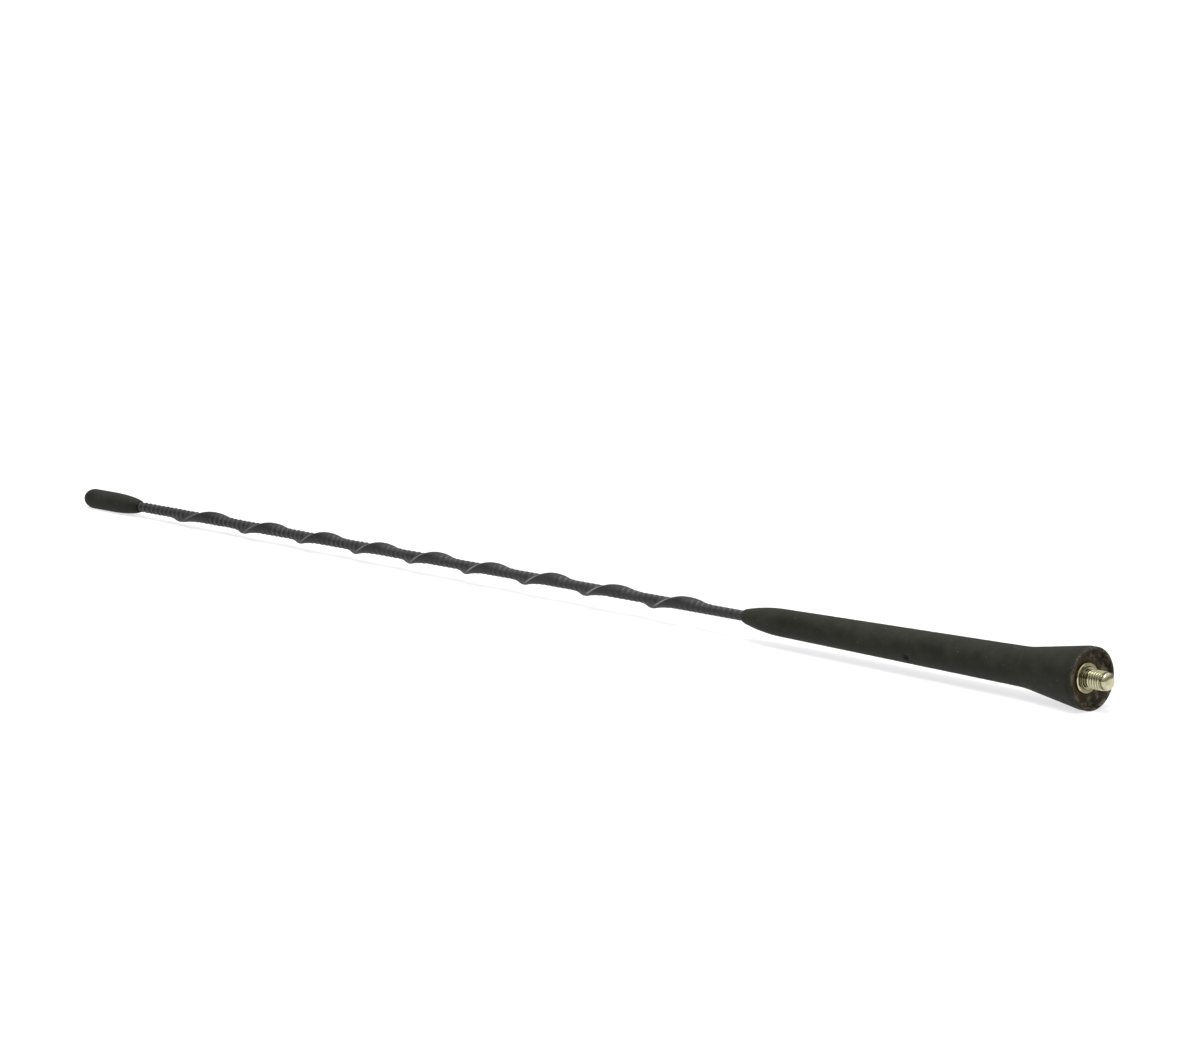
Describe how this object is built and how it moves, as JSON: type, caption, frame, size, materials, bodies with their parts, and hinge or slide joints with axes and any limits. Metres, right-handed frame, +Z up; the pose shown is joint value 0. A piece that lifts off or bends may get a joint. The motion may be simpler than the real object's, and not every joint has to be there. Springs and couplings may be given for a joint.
{
  "type": "car radio antenna mast",
  "caption": "Slim screw-in car radio antenna: tapered black rubber grip with a bell base and threaded stud, ribbed whip with a coarse wind spiral and a domed tip cap.",
  "frame": {"origin": "centre of the grip's rim plane, on the axis of the threaded stud", "axes": "+X along the axis and out of the stud, -X along the whip to the tip, +Z up as it lies"},
  "size_m": [0.4091, 0.016, 0.016],
  "materials": {
    "stud_brass": "satin",
    "grip_rubber": "matte",
    "rod_glass_fibre": "matte",
    "wire_copper": "satin",
    "cord_plastic": "matte",
    "sleeve_plastic": "satin",
    "cap_plastic": "matte"
  },
  "bodies": {
    "root": {"threaded_stud": "stud_brass", "grip": "grip_rubber", "core_rod": "rod_glass_fibre", "radiator_winding": "wire_copper", "wind_spiral": "cord_plastic", "whip_sleeve": "sleeve_plastic", "tip_cap": "cap_plastic"}
  },
  "joints": []
}
